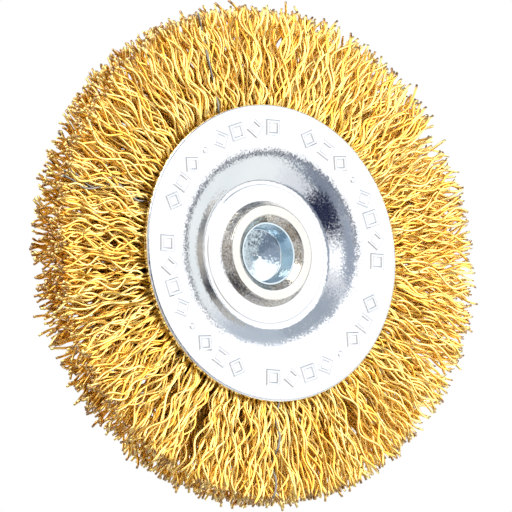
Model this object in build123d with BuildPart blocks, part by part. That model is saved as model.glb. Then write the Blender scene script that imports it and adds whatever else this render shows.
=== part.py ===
"""A crimped-wire wheel brush on a plain round shank.

The wheel's axis runs along Y. The front plate faces -Y and the shank leaves along +Y.
The origin is on the axis, where the free shank leaves the rear face of its collar.
All sizes are in millimetres.
"""

import os
from math import cos, radians, sin, tan

from build123d import *

# Driving dimensions
WHEEL_DIAMETER = 75.0
WIRE_FACE_WIDTH = 7.0
BUNDLE_COUNT = 24
PLATE_DIAMETER = 44.8
PLATE_THICKNESS = 0.9
RIM_FACE = 4.6  # from the wheel's mid-plane to a plate's outer face at its rim
DISH_FACE = 2.7  # the same, at the flat bottom of the dish
SHANK_DIAMETER = 6.0
SHANK_LENGTH = 30.0

# The pressed plates
DISH_RADIUS = 11.2
WALL_SLOPE = 28.0  # degrees from the plate's flat
DISH_FILLET = 1.2
SHOULDER_FILLET = 8.7
RIM_FILLET = 0.35
RIM_BACK_FILLET = 0.15
SEAT_RADIUS = 10.4
SEAT_RISE = 0.12
SEAT_FACE = DISH_FACE + SEAT_RISE
FIT_CLEARANCE = 0.05

# The raised marks that are pressed round each plate
MARK_CIRCLE_RADIUS = 18.85
MARK_PLACES = 36
MARK_HEIGHT = 3.2
MARK_WIDTH = 2.5
MARK_STROKE = 0.6
MARK_RISE = 0.15
MARK_SLOPE = 45.0
MARK_GROUP = 9  # a group ends in a blank place, and has a dot halfway

# The hub
HUB_RADIUS = 4.7
RING_BASE_RADIUS = 8.0
RING_OUTER_RADIUS = 7.2
RING_INNER_RADIUS = 5.7
RING_HEIGHT = 1.5
RING_TOP_FILLET = 0.3
LIP_FACE = 3.4
CUP_MOUTH_RADIUS = 4.45
CUP_FLOOR_RADIUS = 4.05
CUP_DEPTH = 2.55
CUP_CONE_DEPTH = 1.0  # how much deeper the drilled floor is at the axis
CUP_FILLET = 0.3
WASHER_RADIUS = 8.5
WASHER_THICKNESS = 1.0
COLLAR_RADIUS = 6.5
COLLAR_LENGTH = 3.4
COLLAR_CHAMFER = 0.5
SHANK_CHAMFER = 0.8
SLEEVE_RADIUS = 7.0

# The wires and the ring that they fold over
CORE_RADIUS = 14.6
CORE_SECTION_RADIUS = 1.1
NOSE_RADIUS = 12.2
NOSE_HALF_WIDTH = 1.2
NOSE_BEVEL = 0.7
WIRE_CLEARANCE = 0.08
TIP_FILLET = 0.8
BUNDLE_GAP = 0.2  # degrees between one bundle and the next

WASHER_FACE = SEAT_FACE + WASHER_THICKNESS
COLLAR_FACE = WASHER_FACE + COLLAR_LENGTH
MID_Y = -COLLAR_FACE  # the wheel's mid-plane in the part's frame
SHOULDER_RADIUS = DISH_RADIUS + (RIM_FACE - DISH_FACE) / tan(radians(WALL_SLOPE))
FLAT_RADIUS = SHOULDER_RADIUS + SHOULDER_FILLET * tan(radians(WALL_SLOPE / 2))
FRONT = -1
REAR = 1


def section_plane(side):
    """The plane of a turned section: x is the radius and y the distance from mid-plane."""
    return Plane(origin=(0, MID_Y, 0), x_dir=(1, 0, 0), z_dir=(0, 0, side))


def mark_outline(kind):
    """One generic raised mark, drawn with its height along the wheel's radius."""
    if kind == "diamond":
        RegularPolygon(MARK_HEIGHT / 2, 4)
        RegularPolygon(MARK_HEIGHT / 2 - MARK_STROKE * 1.3, 4, mode=Mode.SUBTRACT)
    elif kind == "square":
        Rectangle(MARK_WIDTH, MARK_WIDTH)
        Rectangle(MARK_WIDTH - 2 * MARK_STROKE, MARK_WIDTH - 2 * MARK_STROKE, mode=Mode.SUBTRACT)
    else:
        Circle(MARK_STROKE * 0.8)


def mark_kinds():
    """The kind of mark at each place round the plate, with None where it is blank."""
    for place in range(MARK_PLACES):
        in_group = place % MARK_GROUP
        if in_group == MARK_GROUP - 1:
            yield place, None
        elif in_group == MARK_GROUP // 2:
            yield place, "dot"
        else:
            yield place, ("square", "diamond")[in_group % 2]


def pressed_plate(side):
    """A dished side plate, with a coined hub seat, a rounded rim and raised marks."""
    hole_radius = HUB_RADIUS + FIT_CLEARANCE
    with BuildPart() as plate:
        with BuildSketch(section_plane(side)):
            with BuildLine():
                FilletPolyline(
                    (hole_radius, DISH_FACE),
                    (DISH_RADIUS, DISH_FACE),
                    (SHOULDER_RADIUS, RIM_FACE),
                    (PLATE_DIAMETER / 2, RIM_FACE),
                    radius=(DISH_FILLET, SHOULDER_FILLET),
                )
                offset(amount=PLATE_THICKNESS, side=Side.RIGHT)
            make_face()
        revolve(axis=Axis.Y)
        with BuildSketch(section_plane(side)):
            with BuildLine():
                Polyline(
                    (hole_radius, DISH_FACE - SEAT_RISE),
                    (SEAT_RADIUS + SEAT_RISE, DISH_FACE - SEAT_RISE),
                    (SEAT_RADIUS + SEAT_RISE, DISH_FACE),
                    (SEAT_RADIUS, SEAT_FACE),
                    (hole_radius, SEAT_FACE),
                    close=True,
                )
            make_face()
        revolve(axis=Axis.Y)
        rim_edges = plate.edges().filter_by(GeomType.CIRCLE)
        rim_edges = rim_edges.filter_by(lambda edge: abs(edge.radius - PLATE_DIAMETER / 2) < 0.01)
        rim_edges = rim_edges.sort_by(Axis.Y)
        outer_edge = rim_edges[0] if side == FRONT else rim_edges[-1]
        inner_edge = rim_edges[-1] if side == FRONT else rim_edges[0]
        fillet(outer_edge, RIM_FILLET)
        fillet(plate.edges().sort_by(lambda edge: (edge.center() - inner_edge.center()).length)[0],
               RIM_BACK_FILLET)
        face_plane = Plane(origin=(0, MID_Y + side * RIM_FACE, 0), x_dir=(1, 0, 0), z_dir=(0, side, 0))
        with BuildSketch(face_plane):
            for place, kind in mark_kinds():
                if kind:
                    angle = place * 360 / MARK_PLACES
                    with PolarLocations(MARK_CIRCLE_RADIUS, 1, start_angle=angle):
                        mark_outline(kind)
        extrude(amount=MARK_RISE, taper=MARK_SLOPE)
    return plate


front_plate = pressed_plate(FRONT)
rear_plate = pressed_plate(REAR)

# The ring on the front plate that the shank's end is swaged into
ring_face = SEAT_FACE + RING_HEIGHT
with BuildPart() as hub_ring:
    with BuildSketch(section_plane(FRONT)) as ring_section:
        with BuildLine():
            Polyline(
                (HUB_RADIUS + FIT_CLEARANCE, SEAT_FACE),
                (RING_BASE_RADIUS, SEAT_FACE),
                (RING_OUTER_RADIUS, ring_face),
                (RING_INNER_RADIUS, ring_face),
                (HUB_RADIUS + FIT_CLEARANCE, LIP_FACE - FIT_CLEARANCE),
                close=True,
            )
        make_face()
        fillet(ring_section.vertices().group_by(Axis.Y)[-1], RING_TOP_FILLET)
    revolve(axis=Axis.Y)

# The sleeve that keeps the two plates apart
with BuildPart() as spacer_sleeve:
    with BuildSketch(section_plane(REAR)):
        sleeve_half_length = DISH_FACE - PLATE_THICKNESS
        with Locations(((HUB_RADIUS + FIT_CLEARANCE + SLEEVE_RADIUS) / 2, 0)):
            Rectangle(SLEEVE_RADIUS - HUB_RADIUS - FIT_CLEARANCE, 2 * sleeve_half_length)
    revolve(axis=Axis.Y)

# The washer behind the rear plate
with BuildPart() as rear_washer:
    with BuildSketch(section_plane(REAR)) as washer_section:
        with Locations(((HUB_RADIUS + FIT_CLEARANCE + WASHER_RADIUS) / 2, SEAT_FACE + WASHER_THICKNESS / 2)):
            Rectangle(WASHER_RADIUS - HUB_RADIUS - FIT_CLEARANCE, WASHER_THICKNESS)
        chamfer(washer_section.vertices().group_by(Axis.Y)[-1].sort_by(Axis.X)[-1], 0.2)
    revolve(axis=Axis.Y)

# The shank: a hub body with a cupped front end, a collar, and the stem that the tool holds
with BuildPart() as shank:
    with BuildSketch(section_plane(REAR)):
        with BuildLine():
            Polyline(
                (0, -LIP_FACE + CUP_DEPTH + CUP_CONE_DEPTH),
                (CUP_FLOOR_RADIUS, -LIP_FACE + CUP_DEPTH),
                (CUP_MOUTH_RADIUS, -LIP_FACE),
                (HUB_RADIUS, -LIP_FACE),
                (HUB_RADIUS, WASHER_FACE),
                (COLLAR_RADIUS, WASHER_FACE),
                (COLLAR_RADIUS, COLLAR_FACE - COLLAR_CHAMFER),
                (COLLAR_RADIUS - COLLAR_CHAMFER, COLLAR_FACE),
                (SHANK_DIAMETER / 2, COLLAR_FACE),
                (SHANK_DIAMETER / 2, COLLAR_FACE + SHANK_LENGTH - SHANK_CHAMFER),
                (SHANK_DIAMETER / 2 - SHANK_CHAMFER, COLLAR_FACE + SHANK_LENGTH),
                (0, COLLAR_FACE + SHANK_LENGTH),
                close=True,
            )
        make_face()
    revolve(axis=Axis.Y)
    cup_edge = shank.edges().filter_by(GeomType.CIRCLE)
    cup_edge = cup_edge.filter_by(lambda edge: abs(edge.radius - CUP_FLOOR_RADIUS) < 0.01)
    fillet(cup_edge, CUP_FILLET)

# The steel ring that every wire folds over
with BuildPart() as core_ring:
    with BuildSketch(section_plane(REAR)):
        with Locations((CORE_RADIUS, 0)):
            Circle(CORE_SECTION_RADIUS)
    revolve(axis=Axis.Y)


def wire_bundle(index):
    """One sector of the wires, folded round the core ring and clamped between the plates."""
    start = index * 360 / BUNDLE_COUNT
    arc = 360 / BUNDLE_COUNT - BUNDLE_GAP
    bend_radius = SHOULDER_FILLET - PLATE_THICKNESS - WIRE_CLEARANCE
    bend_centre = RIM_FACE - SHOULDER_FILLET
    bend = []
    for slope in (WALL_SLOPE, WALL_SLOPE / 2, 0):
        across = bend_centre + bend_radius * cos(radians(slope))
        bend.append((FLAT_RADIUS - bend_radius * sin(radians(slope)), across))
    wall_start = NOSE_RADIUS + NOSE_BEVEL
    half_profile = [
        (NOSE_RADIUS, NOSE_HALF_WIDTH),
        (wall_start, bend[0][1] - (bend[0][0] - wall_start) * tan(radians(WALL_SLOPE))),
        *bend,
        (PLATE_DIAMETER / 2, bend[-1][1]),
        (WHEEL_DIAMETER / 2, WIRE_FACE_WIDTH / 2),
    ]
    other_half = [(radius, -half_width) for radius, half_width in reversed(half_profile)]
    with BuildPart() as bundle:
        plane = Plane(origin=(0, MID_Y, 0)).rotated((0, start, 0))
        with BuildSketch(plane) as section:
            with BuildLine():
                Polyline(*half_profile, *other_half, close=True)
            make_face()
            fillet(section.vertices().group_by(Axis.X)[-1], TIP_FILLET)
            with Locations((CORE_RADIUS, 0)):
                Circle(CORE_SECTION_RADIUS + FIT_CLEARANCE, mode=Mode.SUBTRACT)
        revolve(axis=Axis.Y, revolution_arc=arc)
    return bundle


os.makedirs("parts", exist_ok=True)

pieces = {
    "front_plate": front_plate,
    "rear_plate": rear_plate,
    "hub_ring": hub_ring,
    "spacer_sleeve": spacer_sleeve,
    "rear_washer": rear_washer,
    "shank": shank,
    "core_ring": core_ring,
}
for index in range(BUNDLE_COUNT):
    pieces[f"wire_bundle_{index + 1:02d}"] = wire_bundle(index)

for name, piece in pieces.items():
    piece.part.label = name
    export_step(piece.part, f"parts/{name}.step")
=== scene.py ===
"""The looks of a crimped-wire wheel brush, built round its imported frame.

The wheel turns about Y. Its front plate faces -Y and its shank leaves along +Y. The plates, the hub
and the shank keep their own meshes and are dressed here; the wires are bent here, one by one.
"""

from __future__ import annotations

import logging
import math
from dataclasses import dataclass, field
from enum import Enum

import bpy
import numpy as np
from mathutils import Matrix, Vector

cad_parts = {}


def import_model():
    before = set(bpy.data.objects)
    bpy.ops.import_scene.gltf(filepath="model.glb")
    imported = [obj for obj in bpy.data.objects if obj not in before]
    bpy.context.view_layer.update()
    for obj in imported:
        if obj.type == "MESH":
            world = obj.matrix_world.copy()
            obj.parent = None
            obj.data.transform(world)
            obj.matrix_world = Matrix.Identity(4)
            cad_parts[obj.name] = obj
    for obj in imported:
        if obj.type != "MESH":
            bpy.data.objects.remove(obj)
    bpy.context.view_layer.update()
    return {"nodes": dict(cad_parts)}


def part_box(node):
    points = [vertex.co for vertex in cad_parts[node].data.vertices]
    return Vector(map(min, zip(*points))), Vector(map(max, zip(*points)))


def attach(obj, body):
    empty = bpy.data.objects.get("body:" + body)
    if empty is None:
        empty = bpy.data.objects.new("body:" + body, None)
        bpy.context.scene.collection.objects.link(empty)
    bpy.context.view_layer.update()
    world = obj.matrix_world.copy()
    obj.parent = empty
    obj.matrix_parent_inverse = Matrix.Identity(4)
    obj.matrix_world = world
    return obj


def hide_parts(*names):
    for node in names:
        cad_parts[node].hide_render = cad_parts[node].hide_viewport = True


LOG = logging.getLogger("wheel_brush")
MM = 0.001
BODY = "root"

Socket = bpy.types.NodeSocket
Span = tuple[float, float]
Triple = tuple[float, float, float]
Rgba = tuple[float, float, float, float]


class Slot(Enum):
    """The record's material slots."""

    ZINC_PLATE = "zinc_plate"
    NICKEL_RING = "nickel_ring"
    ZINC_SHANK = "zinc_shank"
    PLAIN_STEEL = "plain_steel"
    BRASS_WIRE = "brass_wire"


class NodeName(Enum):
    """The frame's nodes that keep their own meshes."""

    FRONT_PLATE = "front_plate"
    REAR_PLATE = "rear_plate"
    HUB_RING = "hub_ring"
    SPACER_SLEEVE = "spacer_sleeve"
    REAR_WASHER = "rear_washer"
    SHANK = "shank"
    CORE_RING = "core_ring"


# Shader helpers


@dataclass
class Graph:
    """A node tree with short calls to add and join its nodes."""

    tree: bpy.types.NodeTree

    def add(self, kind: str, **settings: object) -> bpy.types.Node:
        """Adds a node.

        Args:
            kind: The node's type name.
            **settings: Attributes to set on it.

        Returns:
            The new node.
        """
        node = self.tree.nodes.new(kind)
        for name, value in settings.items():
            setattr(node, name, value)
        return node

    def join(self, source: Socket, target: Socket) -> None:
        """Links one socket to another."""
        self.tree.links.new(source, target)

    def feed(self, node: bpy.types.Node, name: str | int, value: Socket | float | Triple | Rgba) -> None:
        """Gives an input a socket's value or a plain one.

        Args:
            node: The node whose input is set.
            name: The input's name or number.
            value: A socket to link, or a number, vector or colour.
        """
        if isinstance(value, Socket):
            self.join(value, node.inputs[name])
        else:
            node.inputs[name].default_value = value

    def noise(self, vector: Socket, scale: Socket | float, detail: float,
              roughness: float = 0.5) -> Socket:
        """A noise pattern.

        Args:
            vector: The coordinates it is laid out in.
            scale: Its scale, as a number or a socket.
            detail: How many octaves it has.
            roughness: How strong the finer octaves are.

        Returns:
            The pattern's value socket.
        """
        node = self.add("ShaderNodeTexNoise")
        self.join(vector, node.inputs["Vector"])
        self.feed(node, "Scale", scale)
        self.feed(node, "Detail", detail)
        self.feed(node, "Roughness", roughness)
        return node.outputs["Fac"]

    def ramp(self, value: Socket, low: float, high: float, to_low: float = 0.0,
             to_high: float = 1.0) -> Socket:
        """Maps a value smoothly from one range to another.

        Args:
            value: The socket to map.
            low: Where the range starts.
            high: Where it ends.
            to_low: The result at the start.
            to_high: The result at the end.

        Returns:
            The mapped value's socket.
        """
        node = self.add("ShaderNodeMapRange", interpolation_type="SMOOTHSTEP")
        self.join(value, node.inputs["Value"])
        self.feed(node, "From Min", low)
        self.feed(node, "From Max", high)
        self.feed(node, "To Min", to_low)
        self.feed(node, "To Max", to_high)
        return node.outputs["Result"]

    def math(self, operation: str, *values: Socket | float) -> Socket:
        """One step of arithmetic.

        Args:
            operation: The Math node's operation.
            *values: What it works on, as sockets or numbers.

        Returns:
            The result's socket.
        """
        node = self.add("ShaderNodeMath", operation=operation)
        for index, value in enumerate(values):
            self.feed(node, index, value)
        return node.outputs[0]

    def vector(self, operation: str, *values: Socket | Triple) -> Socket:
        """One step of vector arithmetic.

        Args:
            operation: The Vector Math node's operation.
            *values: What it works on, as sockets or vectors.

        Returns:
            The result's socket.
        """
        node = self.add("ShaderNodeVectorMath", operation=operation)
        for index, value in enumerate(values):
            self.feed(node, index, value)
        return node.outputs["Value" if operation == "DOT_PRODUCT" else "Vector"]

    def blend(self, share: Socket | float, first: Socket | Rgba, second: Socket | Rgba) -> Socket:
        """Mixes two colours.

        Args:
            share: How much of the second colour shows.
            first: A colour or its socket.
            second: A colour or its socket.

        Returns:
            The mixed colour's socket.
        """
        node = self.add("ShaderNodeMix", data_type="RGBA")
        for index, value in ((0, share), (6, first), (7, second)):
            self.feed(node, index, value)
        return node.outputs[2]


def rgba(red: float, green: float, blue: float) -> Rgba:
    """An opaque colour."""
    return (red, green, blue, 1.0)


@dataclass(frozen=True)
class PlatingMottle:
    """The speckle, slow clouds and tilted crystals of electroplated steel, as a node group."""

    name: str = "Plating mottle"
    speckle_range: Span = (0.32, 0.68)
    cloud_range: Span = (0.3, 0.7)
    crystal_middle: Triple = (0.5, 0.5, 0.5)

    def group(self) -> bpy.types.NodeTree:
        """Makes the group, or finds the one made before.

        Returns:
            The node group.
        """
        if self.name in bpy.data.node_groups:
            return bpy.data.node_groups[self.name]
        group = bpy.data.node_groups.new(self.name, "ShaderNodeTree")
        group.interface.new_socket("Vector", in_out="INPUT", socket_type="NodeSocketVector")
        for socket in ("Grain Scale", "Cloud Scale", "Tilt"):
            group.interface.new_socket(socket, in_out="INPUT", socket_type="NodeSocketFloat")
        for socket in ("Speckle", "Clouds"):
            group.interface.new_socket(socket, in_out="OUTPUT", socket_type="NodeSocketFloat")
        group.interface.new_socket("Normal", in_out="OUTPUT", socket_type="NodeSocketVector")
        graph = Graph(group)
        start = graph.add("NodeGroupInput")
        end = graph.add("NodeGroupOutput")
        place = start.outputs["Vector"]
        speckle = graph.noise(place, start.outputs["Grain Scale"], detail=3.0, roughness=0.7)
        clouds = graph.noise(place, start.outputs["Cloud Scale"], detail=2.0)
        graph.join(graph.ramp(speckle, *self.speckle_range), end.inputs["Speckle"])
        graph.join(graph.ramp(clouds, *self.cloud_range), end.inputs["Clouds"])
        crystals = graph.add("ShaderNodeTexVoronoi", feature="F1")
        graph.join(place, crystals.inputs["Vector"])
        graph.join(start.outputs["Grain Scale"], crystals.inputs["Scale"])
        centred = graph.vector("SUBTRACT", crystals.outputs["Color"], self.crystal_middle)
        tilt = graph.add("ShaderNodeVectorMath", operation="SCALE")
        graph.join(centred, tilt.inputs[0])
        strength = graph.math("MULTIPLY", start.outputs["Tilt"], graph.math("ADD", speckle, clouds))
        graph.join(strength, tilt.inputs["Scale"])
        surface = graph.add("ShaderNodeNewGeometry").outputs["Normal"]
        tilted = graph.vector("ADD", surface, tilt.outputs[0])
        graph.join(graph.vector("NORMALIZE", tilted), end.inputs["Normal"])
        return group

    def place(self, graph: Graph, grain_scale: float, cloud_scale: float, tilt: float) -> bpy.types.Node:
        """Puts the group in a material.

        Args:
            graph: The material's graph.
            grain_scale: The scale of its speckle and crystals.
            cloud_scale: The scale of its clouds.
            tilt: How far the crystals lean.

        Returns:
            The group's node.
        """
        node = graph.add("ShaderNodeGroup", node_tree=self.group())
        graph.join(graph.add("ShaderNodeTexCoord").outputs["Object"], node.inputs["Vector"])
        graph.feed(node, "Grain Scale", grain_scale)
        graph.feed(node, "Cloud Scale", cloud_scale)
        graph.feed(node, "Tilt", tilt)
        return node


def new_surface(name: str) -> tuple[bpy.types.Material, Graph, bpy.types.Node]:
    """An empty material with its shader.

    Args:
        name: The material's name.

    Returns:
        The material, its node graph and its Principled shader.
    """
    material = bpy.data.materials.new(name)
    material.use_nodes = True
    graph = Graph(material.node_tree)
    return material, graph, material.node_tree.nodes["Principled BSDF"]


@dataclass(frozen=True)
class PlatedSteel:
    """Electroplated steel: a bright tint, a duller cloud tint, and fine crystals that tilt its shine."""

    name: str
    tint: Triple
    cloud_tint: Triple
    roughness: float
    roughness_spread: float
    tilt: float
    grain_scale: float = 4000.0
    cloud_scale: float = 180.0
    # A painted reflection: brown on the faces that slope away from the axis
    slope_reflection_tint: Triple | None = None
    slope_facing: Span = (0.97, 0.86)
    slope_speckle: Span = (0.1, 0.8)
    slope_shares: Span = (1.0, 0.25)

    def material(self) -> bpy.types.Material:
        """Builds the finish.

        Returns:
            The new material.
        """
        material, graph, shader = new_surface(self.name)
        mottle = PlatingMottle().place(graph, self.grain_scale, self.cloud_scale, self.tilt)
        colour = graph.blend(mottle.outputs["Clouds"], rgba(*self.tint), rgba(*self.cloud_tint))
        # Painted reflection on the sloped faces
        if self.slope_reflection_tint:
            colour = self.paint_slope_reflection(graph, mottle.outputs["Speckle"], colour)
        graph.join(colour, shader.inputs["Base Color"])
        graph.feed(shader, "Metallic", 1.0)
        low, high = self.roughness - self.roughness_spread, self.roughness + self.roughness_spread
        rough = graph.ramp(mottle.outputs["Speckle"], 0.0, 1.0, low, high)
        graph.join(rough, shader.inputs["Roughness"])
        graph.join(mottle.outputs["Normal"], shader.inputs["Normal"])
        return material

    def paint_slope_reflection(self, graph: Graph, speckle: Socket, colour: Socket) -> Socket:
        """Browns the faces that slope away from the wheel's axis, a painted reflection on those slopes.

        Args:
            graph: The material's graph.
            speckle: The plating's speckle, which breaks the brown up.
            colour: The finish's colour on its flat faces.

        Returns:
            The colour with the painted reflection over it.
        """
        parts = graph.add("ShaderNodeSeparateXYZ")
        graph.join(graph.add("ShaderNodeNewGeometry").outputs["Normal"], parts.inputs[0])
        facing = graph.math("ABSOLUTE", parts.outputs["Y"])
        sloped = graph.ramp(facing, *self.slope_facing)
        broken = graph.ramp(speckle, *self.slope_speckle, *self.slope_shares)
        return graph.blend(graph.math("MULTIPLY", sloped, broken), colour, rgba(*self.slope_reflection_tint))


@dataclass(frozen=True)
class BrassWire:
    """Lacquered brass-coated steel wire.

    Each wire has its own tone, from bright to deep, a few are bare, and the cut ends are browner: partly
    oxide on the cut steel, partly painted shade.
    """

    name: str = "brass coated wire"
    bright: Triple = (0.99, 0.74, 0.23)
    deep: Triple = (0.89, 0.49, 0.008)
    tip_oxide_and_shade: Triple = (0.26, 0.11, 0.015)
    bare: Triple = (0.16, 0.14, 0.12)
    bare_from: float = 0.999
    tone_range: Span = (0.1, 0.9)
    tone_share: float = 0.65
    patina_share: float = 0.35
    end_reach: Span = (0.955, 0.99)
    end_tones: Span = (0.2, 0.9)
    end_shares: Span = (0.25, 0.95)
    grain_scale: float = 5000.0
    cloud_scale: float = 400.0
    smoothest: float = 0.19
    roughest: float = 0.35
    lacquer_index: float = 1.7
    lacquer_roughness: float = 0.15

    def material(self) -> bpy.types.Material:
        """Builds the finish.

        Returns:
            The new material.
        """
        material, graph, shader = new_surface(self.name)
        tone = graph.add("ShaderNodeAttribute", attribute_name="wire_tone").outputs["Fac"]
        reach = graph.add("ShaderNodeAttribute", attribute_name="wire_reach").outputs["Fac"]
        mottle = PlatingMottle().place(graph, self.grain_scale, self.cloud_scale, tilt=0.0)
        patina = graph.math("MULTIPLY", mottle.outputs["Clouds"], self.patina_share)
        own = graph.math("MULTIPLY", graph.ramp(tone, *self.tone_range), self.tone_share)
        share = graph.math("ADD", own, patina)
        brass = graph.blend(share, rgba(*self.bright), rgba(*self.deep))
        # Browner towards the cut ends: partly oxide, partly painted shade at the tips
        near_tip = graph.ramp(reach, *self.end_reach)
        end = graph.math("MULTIPLY", near_tip, graph.ramp(tone, *self.end_tones, *self.end_shares))
        brass = graph.blend(end, brass, rgba(*self.tip_oxide_and_shade))
        bare = graph.math("GREATER_THAN", tone, self.bare_from)
        graph.join(graph.blend(bare, brass, rgba(*self.bare)), shader.inputs["Base Color"])
        graph.feed(shader, "Metallic", 1.0)
        rough = graph.ramp(mottle.outputs["Speckle"], 0.0, 1.0, self.smoothest, self.roughest)
        graph.join(rough, shader.inputs["Roughness"])
        graph.feed(shader, "Coat Weight", 1.0)
        graph.feed(shader, "Coat Roughness", self.lacquer_roughness)
        graph.feed(shader, "Coat IOR", self.lacquer_index)
        return material


PLATE_ZINC = PlatedSteel("bright zinc plate", tint=(0.90, 0.91, 0.93), cloud_tint=(0.84, 0.86, 0.89),
                         roughness=0.15, roughness_spread=0.05, tilt=0.09, grain_scale=5000.0)
WASHER_ZINC = PlatedSteel("dull zinc washer", tint=(0.80, 0.82, 0.84), cloud_tint=(0.70, 0.73, 0.76),
                          roughness=0.28, roughness_spread=0.08, tilt=0.16)
SHANK_ZINC = PlatedSteel("blue zinc shank", tint=(0.73, 0.83, 0.89), cloud_tint=(0.64, 0.75, 0.83),
                         roughness=0.14, roughness_spread=0.05, tilt=0.10)
# The ring's brown slopes are a painted reflection
RING_NICKEL = PlatedSteel("warm nickel ring", tint=(0.93, 0.91, 0.86), cloud_tint=(0.86, 0.83, 0.78),
                          roughness=0.16, roughness_spread=0.06, tilt=0.10, slope_reflection_tint=(0.38, 0.33, 0.27))
DRAWN_STEEL = PlatedSteel("plain drawn steel", tint=(0.46, 0.45, 0.44), cloud_tint=(0.36, 0.35, 0.34),
                          roughness=0.36, roughness_spread=0.10, tilt=0.12)


# The wires


def eased(share: np.ndarray) -> np.ndarray:
    """Shares from 0 to 1 with a soft start and end."""
    share = np.clip(share, 0.0, 1.0)
    return share * share * (3 - 2 * share)


@dataclass
class Leg:
    """One half of each hairpin in a bundle, from the core ring to its tip.

    Every array has one row a wire. along, aside and across are the distances of its points out along
    the bundle's radius, sideways round the wheel, and from the mid-plane. reach runs from 0 at the core
    ring to 1 at the tip.
    """

    along: np.ndarray
    aside: np.ndarray
    across: np.ndarray
    reach: np.ndarray


@dataclass
class WireRing:
    """The ring of crimped wires, in one piece for each of the frame's bundles.

    The wires of a tuft share their crimp's phase and plane, as cut lengths of one coil do. A spread is
    the least and the most of an even random choice, and a scatter is a standard deviation.
    """

    finish: BrassWire = field(default_factory=BrassWire)
    seed: int = 7

    # The hairpins of a bundle, each placed at random within its own even slot
    hairpins: int = 54
    tufts: int = 8
    slot_spread: Span = (0.1, 0.9)
    wire_radius: float = 0.2 * MM

    # Their folds, which clear the core ring by a number of wire radii
    fold_clearance: float = 1.2
    fold_depth: float = 1.1 * MM

    # Their mesh, with its points closer together towards the tips
    sides: int = 6
    leg_points: int = 34
    point_spacing: float = 0.85
    fold_points: int = 7

    # Where the plates let go, in plate radii, and how the wires fill each half of the gap
    release_from: float = 0.86
    release_over: float = 0.26
    spread_by: float = 0.9
    innermost: float = 0.03
    filled: float = 0.95

    # The crimp
    crimp_pitch: float = 7.6 * MM
    pitch_spread: Span = (0.85, 1.18)
    crimp_height: float = 0.95 * MM
    height_spread: Span = (0.6, 1.2)
    crimp_across: float = 0.8
    phase_scatter: float = 0.8
    plane_scatter: float = 0.6

    # Outside the plates: a sideways slope and curvature, a drift across, and a flare at the rims
    lean_scatter: float = 0.09
    bow_scatter: float = 5.0
    drift_scatter: float = 0.35 * MM
    drift_length: float = 15 * MM
    flare: float = 0.5 * MM
    flare_length: float = 1.3 * MM
    flare_power: int = 3
    spill: float = 0.5 * MM

    # The trimmed tips
    ragged: float = 0.6 * MM
    stray_share: float = 0.05
    stray_spread: Span = (0.2 * MM, 1.1 * MM)

    # Read from the frame
    core_section: float = field(init=False)
    core_radius: float = field(init=False)
    mid_y: float = field(init=False)
    plate_radius: float = field(init=False)
    bundles: list[str] = field(init=False)
    tip_radius: float = field(init=False)
    half_width: float = field(init=False)
    sector: float = field(init=False)

    def measure(self, nodes: dict[str, bpy.types.Object]) -> None:
        """Reads the sizes that the wires have to fit.

        Args:
            nodes: The frame's nodes by name.
        """
        low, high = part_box(NodeName.CORE_RING.value)
        self.core_section = (high.y - low.y) / 2
        self.core_radius = high.x - self.core_section
        self.mid_y = (high.y + low.y) / 2
        self.plate_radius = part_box(NodeName.FRONT_PLATE.value)[1].x
        self.bundles = sorted(name for name in nodes if name.startswith("wire_bundle_"))
        boxes = [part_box(name) for name in self.bundles]
        self.tip_radius = max(high.x for _, high in boxes)
        self.half_width = (boxes[0][1].y - boxes[0][0].y) / 2 - self.wire_radius
        self.sector = 2 * math.pi / len(self.bundles)

    def build(self, nodes: dict[str, bpy.types.Object]) -> list[bpy.types.Object]:
        """Bends every wire.

        Args:
            nodes: The frame's nodes by name.

        Returns:
            One piece a bundle.
        """
        self.measure(nodes)
        material = self.finish.material()
        pieces = []
        for index, name in enumerate(self.bundles):
            rng = np.random.default_rng(self.seed + index)
            points = np.array([v.co for v in nodes[name].data.vertices])
            middle = points.mean(axis=0)
            angle = math.atan2(middle[2], middle[0])
            piece = self.bundle(rng, f"crimped_wires_{index + 1:02d}", angle)
            piece.data.materials.append(material)
            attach(piece, BODY)
            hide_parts(name)
            pieces.append(piece)
        return pieces

    def leg(self, rng: np.random.Generator, side: int, fold: np.ndarray, tuft: np.ndarray) -> Leg:
        """Shapes one leg of every hairpin in a bundle.

        Args:
            rng: The bundle's own random numbers.
            side: -1 for the legs towards the front plate, and 1 for the others.
            fold: How far each wire lies from the core ring's centre line.
            tuft: Which tuft each wire belongs to.

        Returns:
            The legs.
        """
        count = len(fold)
        steps = np.linspace(0.0, 1.0, self.leg_points) ** self.point_spacing
        tip = self.tips(rng, count)
        along = self.core_radius + (tip - self.core_radius)[:, None] * steps
        plate = self.plate_radius
        clamped = plate * self.spread_by
        free = eased((along - plate * self.release_from) / (plate * self.release_over))
        spread = eased((along - self.core_radius) / (clamped - self.core_radius))
        outside = np.maximum(along - clamped, 0.0)

        # The square root packs the wires towards the plates
        gap_share = self.innermost + self.filled * rng.random(count) ** 0.5
        drift = rng.normal(0.0, self.drift_scatter, count)
        wave, plane = self.crimp(rng, along, tuft)
        wave = wave * free
        lean = rng.normal(0.0, self.lean_scatter, self.tufts)[tuft]
        lean = lean + rng.normal(0.0, self.lean_scatter, count)
        bow = rng.normal(0.0, self.bow_scatter, count)
        aside = wave * np.cos(plane)[:, None] + outside * lean[:, None] + bow[:, None] * outside**2

        past_rim = eased((along - plate) / self.flare_length)
        press = gap_share**self.flare_power
        across = fold[:, None] * (1 - spread) + (gap_share * self.half_width)[:, None] * spread
        across = across + self.flare * press[:, None] * past_rim
        across = across + wave * np.sin(plane)[:, None] * self.crimp_across
        across = across + drift[:, None] * outside / self.drift_length
        limit = self.half_width + self.spill * free
        across = np.clip(across, -limit, limit)
        return Leg(along, aside, side * across, np.broadcast_to(steps, along.shape))

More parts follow.
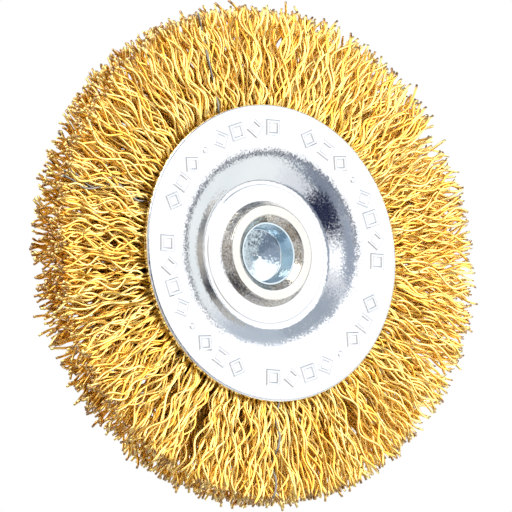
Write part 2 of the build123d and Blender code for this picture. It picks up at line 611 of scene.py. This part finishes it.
    def tips(self, rng: np.random.Generator, count: int) -> np.ndarray:
        """Trims the wires to length.

        Args:
            rng: The bundle's own random numbers.
            count: How many wires there are.

        Returns:
            The radius that each tip reaches: most fall a little short and a few stray past the rest.
        """
        trimmed = self.tip_radius - np.abs(rng.normal(0.0, self.ragged, count))
        strays = rng.random(count) < self.stray_share
        return np.where(strays, self.tip_radius + rng.uniform(*self.stray_spread, count), trimmed)

    def crimp(self, rng: np.random.Generator, along: np.ndarray,
              tuft: np.ndarray) -> tuple[np.ndarray, np.ndarray]:
        """Crimps the wires.

        Args:
            rng: The bundle's own random numbers.
            along: How far out each point is, by wire and point.
            tuft: Which tuft each wire belongs to.

        Returns:
            How far the crimp moves each point, and the angle of each wire's crimp from the mid-plane.
        """
        count = len(tuft)
        phase = rng.uniform(0.0, 2 * math.pi, self.tufts)[tuft]
        phase = phase + rng.normal(0.0, self.phase_scatter, count)
        pitch = self.crimp_pitch * rng.uniform(*self.pitch_spread, count)
        height = self.crimp_height * rng.uniform(*self.height_spread, count)
        plane = rng.uniform(-math.pi, math.pi, self.tufts)[tuft]
        plane = plane + rng.normal(0.0, self.plane_scatter, count)
        wave = np.sin(2 * math.pi * along / pitch[:, None] + phase[:, None])
        return wave * height[:, None], plane

    def bundle(self, rng: np.random.Generator, name: str, angle: float) -> bpy.types.Object:
        """Bends one bundle's hairpins round the core ring.

        Args:
            rng: The bundle's own random numbers.
            name: The piece's name.
            angle: The direction of the bundle's middle, about the wheel's axis.

        Returns:
            The piece, in place.
        """
        count = self.hairpins
        inner = self.core_section + self.fold_clearance * self.wire_radius
        fold = rng.uniform(inner, inner + self.fold_depth, count)
        places = (np.arange(count) + rng.uniform(*self.slot_spread, count)) / count - 0.5
        tuft = np.minimum(((places + 0.5) * self.tufts).astype(int), self.tufts - 1)
        front, rear = self.leg(rng, -1, fold, tuft), self.leg(rng, 1, fold, tuft)
        turn = np.linspace(0.0, math.pi, self.fold_points + 2)[1:-1]
        fold_along = self.core_radius - fold[:, None] * np.sin(turn)[None, :]
        fold_across = -fold[:, None] * np.cos(turn)[None, :]
        still = np.zeros((count, self.fold_points))
        along = np.hstack([front.along[:, ::-1], fold_along, rear.along])
        aside = np.hstack([front.aside[:, ::-1], still, rear.aside])
        across = np.hstack([front.across[:, ::-1], fold_across, rear.across])
        reach = np.hstack([front.reach[:, ::-1], still, rear.reach])
        theta = angle + places[:, None] * self.sector
        out = np.stack([np.cos(theta), np.zeros_like(theta), np.sin(theta)], axis=-1)
        round_it = np.stack([-np.sin(theta), np.zeros_like(theta), np.cos(theta)], axis=-1)
        line = along[..., None] * out + aside[..., None] * round_it
        line[..., 1] += self.mid_y + across
        return self.tubes(name, line, round_it, reach, rng.random(count))

    def tubes(self, name: str, line: np.ndarray, aside: np.ndarray, reach: np.ndarray,
              tone: np.ndarray) -> bpy.types.Object:
        """Makes closed round wires along centre lines.

        Args:
            name: The piece's name.
            line: The centre lines' points, by wire and point.
            aside: A direction that no wire runs along, by wire.
            reach: How far out each point is, from 0 at the fold to 1 at the tip.
            tone: Each wire's own tone.

        Returns:
            The piece.
        """
        count, length, _ = line.shape
        ahead = np.gradient(line, axis=1)
        ahead /= np.linalg.norm(ahead, axis=2, keepdims=True)
        first = aside - (aside * ahead).sum(axis=2, keepdims=True) * ahead
        first /= np.linalg.norm(first, axis=2, keepdims=True)
        second = np.cross(ahead, first)
        around = np.arange(self.sides) * 2 * math.pi / self.sides
        ring = (np.cos(around)[:, None] * first[:, :, None, :]
                + np.sin(around)[:, None] * second[:, :, None, :])
        points = line[:, :, None, :] + self.wire_radius * ring
        corner = np.arange(count * length * self.sides).reshape(count, length, self.sides)
        near, far = corner[:, :-1], corner[:, 1:]
        quads = np.stack([near, np.roll(near, -1, 2), np.roll(far, -1, 2), far], axis=-1).reshape(-1, 4)
        caps = np.concatenate([corner[:, 0, ::-1], corner[:, -1, :]])
        mesh = self.mesh_of(name, points.reshape(-1, 3), quads, caps)
        self.label(mesh, "wire_reach", reach)
        self.label(mesh, "wire_tone", np.broadcast_to(tone[:, None], reach.shape))
        piece = bpy.data.objects.new(name, mesh)
        bpy.context.scene.collection.objects.link(piece)
        return piece

    def mesh_of(self, name: str, points: np.ndarray, quads: np.ndarray, caps: np.ndarray) -> bpy.types.Mesh:
        """Makes a mesh of smooth quads and flat caps.

        Args:
            name: The mesh's name.
            points: Its corners.
            quads: The wires' sides, by corner.
            caps: The wires' cut ends, by corner.

        Returns:
            The mesh.
        """
        mesh = bpy.data.meshes.new(name)
        mesh.vertices.add(len(points))
        mesh.vertices.foreach_set("co", points.astype(np.float32).ravel())
        loops = np.concatenate([quads.ravel(), caps.ravel()])
        mesh.loops.add(len(loops))
        mesh.loops.foreach_set("vertex_index", loops.astype(np.int32))
        totals = np.concatenate([np.full(len(quads), 4), np.full(len(caps), self.sides)])
        starts = np.concatenate([[0], np.cumsum(totals)[:-1]])
        mesh.polygons.add(len(totals))
        mesh.polygons.foreach_set("loop_start", starts.astype(np.int32))
        mesh.polygons.foreach_set("loop_total", totals.astype(np.int32))
        smooth = np.concatenate([np.ones(len(quads), bool), np.zeros(len(caps), bool)])
        mesh.polygons.foreach_set("use_smooth", smooth)
        mesh.update(calc_edges=True)
        mesh.validate()
        return mesh

    def label(self, mesh: bpy.types.Mesh, name: str, values: np.ndarray) -> None:
        """Stores a value for each point of the wires' centre lines on the corners round it.

        Args:
            mesh: The bundle's mesh.
            name: The attribute's name.
            values: The values, by wire and point.
        """
        data = mesh.attributes.new(name, "FLOAT", "POINT").data
        data.foreach_set("value", np.repeat(values.ravel(), self.sides).astype(np.float32))


# The pressed and turned metal


@dataclass
class MetalParts:
    """A set of the frame's nodes that share a finish and keep their own meshes."""

    finish: PlatedSteel
    slot: Slot
    names: tuple[NodeName, ...]

    def dress(self, nodes: dict[str, bpy.types.Object]) -> None:
        """Gives the nodes their finish.

        Args:
            nodes: The frame's nodes by name.
        """
        material = self.finish.material()
        for name in self.names:
            node = nodes[name.value]
            if not node.material_slots:
                node.data.materials.append(material)
            for slot in node.material_slots:
                slot.material = material
            LOG.info("dressed %s in %s", name.value, self.finish.name)


# The studio


# The direction of the key soft box from the wheel
KEY = (0.548, -0.825, 0.134)


@dataclass(frozen=True)
class Patch:
    """A round soft-edged patch of the room, as the wheel sees it: its light, and its radii in degrees."""

    toward: Triple
    inner: float
    outer: float
    light: Triple


# Each patch covers the ones before it
SURROUNDINGS = (
    Patch((-0.50, 0.80, 0.10), 60.0, 100.0, (0.55, 0.55, 0.56)),
    Patch((0.90, -0.30, -0.30), 36.0, 50.0, (0.94, 0.98, 0.98)),
    Patch((0.45, -0.45, 0.77), 22.0, 34.0, (0.50, 0.56, 0.64)),
    Patch((-0.05, -0.60, 0.80), 22.0, 32.0, (0.38, 0.43, 0.50)),
    Patch((-0.50, 0.75, 0.45), 16.0, 24.0, (3.0, 3.0, 3.0)),
    Patch((-0.60, -0.15, 0.78), 24.0, 30.0, (3.2, 3.2, 3.1)),
    Patch((0.75, 0.45, 0.48), 16.0, 22.0, (3.2, 3.2, 3.1)),
    Patch((0.50, 0.30, -0.81), 18.0, 24.0, (3.2, 3.2, 3.1)),
    Patch((-0.70, -0.70, 0.10), 12.0, 20.0, (0.60, 0.58, 0.55)),
    Patch((-0.42, -0.50, -0.76), 18.0, 30.0, (0.52, 0.50, 0.47)),
    Patch(KEY, 20.0, 25.0, (0.11, 0.12, 0.16)),
    Patch((-0.03, -0.99, 0.10), 9.0, 16.0, (0.34, 0.39, 0.48)),
    Patch((0.20, -0.92, -0.28), 9.0, 17.0, (0.24, 0.28, 0.35)),
    Patch((-0.20, -0.90, -0.38), 9.0, 21.0, (0.015, 0.02, 0.06)),
    Patch((-0.38, -0.915, 0.13), 4.0, 11.0, (1.4, 1.4, 1.4)),
    Patch((0.42, -0.80, 0.40), 18.0, 24.0, (1.5, 1.5, 1.5)),
    Patch(KEY, 14.0, 17.0, (1.22, 1.22, 1.22)),
)


@dataclass(frozen=True)
class WireLamp:
    """A round soft box that falls on the wires alone.

    toward is its direction from the wheel, and radiance how bright its face is. It leaves the plates
    out, because they would mirror it as plain white.
    """

    name: str
    toward: Triple
    distance: float
    size: float
    radiance: float

    def build(self, centre: Vector, lit: bpy.types.Collection) -> None:
        """Makes the lamp.

        Args:
            centre: The wheel's centre.
            lit: The collection of pieces that it falls on, and that cast its shadows.
        """
        lamp = bpy.data.lights.new(self.name, "AREA")
        lamp.shape = "DISK"
        lamp.size = self.size
        lamp.energy = self.radiance * math.pi * math.pi * (self.size / 2) ** 2
        box = bpy.data.objects.new(self.name, lamp)
        direction = Vector(self.toward).normalized()
        box.location = centre + direction * self.distance
        box.rotation_euler = direction.to_track_quat("Z", "Y").to_euler()
        box.visible_camera = False
        box.light_linking.receiver_collection = lit
        box.light_linking.blocker_collection = lit
        bpy.context.scene.collection.objects.link(box)


WIRE_LAMPS = (
    WireLamp("key", KEY, 0.7, 0.9, 2.5),
    WireLamp("side fill", (-0.86, -0.35, 0.36), 0.6, 0.6, 2.4),
    WireLamp("rear fill", (0.85, 0.42, 0.32), 0.6, 0.6, 2.0),
)


@dataclass(frozen=True)
class FloorPaint:
    """Flat pale paint with a faint slow grain."""

    name: str = "pale floor"
    light: Triple = (0.93, 0.93, 0.93)
    dark: Triple = (0.90, 0.90, 0.90)
    grain_scale: float = 8.0
    roughness: float = 0.9
    gloss: float = 0.1

    def material(self) -> bpy.types.Material:
        """Builds the finish.

        Returns:
            The new material.
        """
        material, graph, shader = new_surface(self.name)
        place = graph.add("ShaderNodeTexCoord").outputs["Object"]
        grain = graph.noise(place, self.grain_scale, detail=2.0)
        graph.join(graph.blend(grain, rgba(*self.light), rgba(*self.dark)), shader.inputs["Base Color"])
        graph.feed(shader, "Roughness", self.roughness)
        graph.feed(shader, "Specular IOR Level", self.gloss)
        return material


@dataclass
class Studio:
    """A pale floor, a soft white room and the camera."""

    azimuth: float = -33.6
    elevation: float = -7.7
    distance: float = 1.2
    view_width: float = 76.8 * MM
    sensor_width: float = 36.0
    clip: Span = (0.01, 50.0)
    floor_drop: float = 0.22
    floor_half_width: float = 12.0
    paint: FloorPaint = field(default_factory=FloorPaint)
    walls: Triple = (0.80, 0.82, 0.86)
    backdrop: Triple = (1.0, 1.0, 1.0)
    centre: Vector = field(init=False)

    def build(self, centre: Vector, wires: list[bpy.types.Object]) -> None:
        """Makes the whole studio.

        Args:
            centre: The wheel's centre.
            wires: The pieces that the wires' lamps fall on.
        """
        self.centre = centre
        self.make_floor()
        self.make_world()
        lit = bpy.data.collections.new("wires")
        for piece in wires:
            lit.objects.link(piece)
        for lamp in WIRE_LAMPS:
            lamp.build(centre, lit)
        self.make_camera()
        view = bpy.context.scene.view_settings
        view.view_transform = "Standard"
        view.look = "None"

    def camera_direction(self) -> Vector:
        """Works out the direction from the wheel to the camera.

        Returns:
            The direction, of unit length.
        """
        turn, rise = math.radians(self.azimuth), math.radians(self.elevation)
        flat = math.cos(rise)
        return Vector((math.sin(turn) * flat, -math.cos(turn) * flat, math.sin(rise)))

    def make_floor(self) -> None:
        """The plain pale floor."""
        reach = self.floor_half_width
        mesh = bpy.data.meshes.new("floor")
        points = [(-reach, -reach, 0.0), (reach, -reach, 0.0), (reach, reach, 0.0), (-reach, reach, 0.0)]
        mesh.from_pydata(points, [], [(0, 1, 2, 3)])
        floor = bpy.data.objects.new("floor", mesh)
        floor.location = (0.0, 0.0, self.centre.z - self.floor_drop)
        bpy.context.scene.collection.objects.link(floor)
        mesh.materials.append(self.paint.material())
        floor.visible_glossy = False

    def make_world(self) -> None:
        """A white room that shows the metal a key soft box with a dark edge, and greyer walls."""
        world = bpy.data.worlds.new("studio")
        bpy.context.scene.world = world
        world.use_nodes = True
        graph = Graph(world.node_tree)
        background = world.node_tree.nodes["Background"]
        ray = graph.add("ShaderNodeTexCoord").outputs["Generated"]
        colour = rgba(*self.walls)
        for patch in SURROUNDINGS:
            nearness = graph.vector("DOT_PRODUCT", ray, Vector(patch.toward).normalized())
            outer, inner = math.cos(math.radians(patch.outer)), math.cos(math.radians(patch.inner))
            colour = graph.blend(graph.ramp(nearness, outer, inner), colour, rgba(*patch.light))
        seen = graph.add("ShaderNodeLightPath").outputs["Is Camera Ray"]
        colour = graph.blend(seen, colour, rgba(*self.backdrop))
        graph.join(colour, background.inputs["Color"])
        background.inputs["Strength"].default_value = 1.0

    def make_camera(self) -> None:
        """The camera, far enough away for a nearly parallel view."""
        data = bpy.data.cameras.new("camera")
        data.sensor_width = self.sensor_width
        data.lens = self.sensor_width * self.distance / self.view_width
        camera = bpy.data.objects.new("camera", data)
        back = self.camera_direction()
        camera.location = self.centre + back * self.distance
        camera.rotation_mode = "QUATERNION"
        camera.rotation_quaternion = (-back).to_track_quat("-Z", "Y")
        data.clip_start, data.clip_end = self.clip
        bpy.context.scene.collection.objects.link(camera)
        bpy.context.scene.camera = camera


def main() -> None:
    """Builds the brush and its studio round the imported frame."""
    logging.basicConfig(level=logging.INFO, format="%(message)s")
    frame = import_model()
    nodes = frame["nodes"]
    for parts in (
        MetalParts(PLATE_ZINC, Slot.ZINC_PLATE, (NodeName.FRONT_PLATE, NodeName.REAR_PLATE)),
        MetalParts(WASHER_ZINC, Slot.ZINC_PLATE, (NodeName.REAR_WASHER,)),
        MetalParts(RING_NICKEL, Slot.NICKEL_RING, (NodeName.HUB_RING,)),
        MetalParts(SHANK_ZINC, Slot.ZINC_SHANK, (NodeName.SHANK,)),
        MetalParts(DRAWN_STEEL, Slot.PLAIN_STEEL, (NodeName.SPACER_SLEEVE, NodeName.CORE_RING)),
    ):
        parts.dress(nodes)
    wires = WireRing()
    bundles = wires.build(nodes)
    for piece in bundles:
        LOG.info("%s has %d faces", piece.name, len(piece.data.polygons))
    Studio().build(Vector((0.0, wires.mid_y, 0.0)), bundles)


if __name__ == "__main__":
    main()
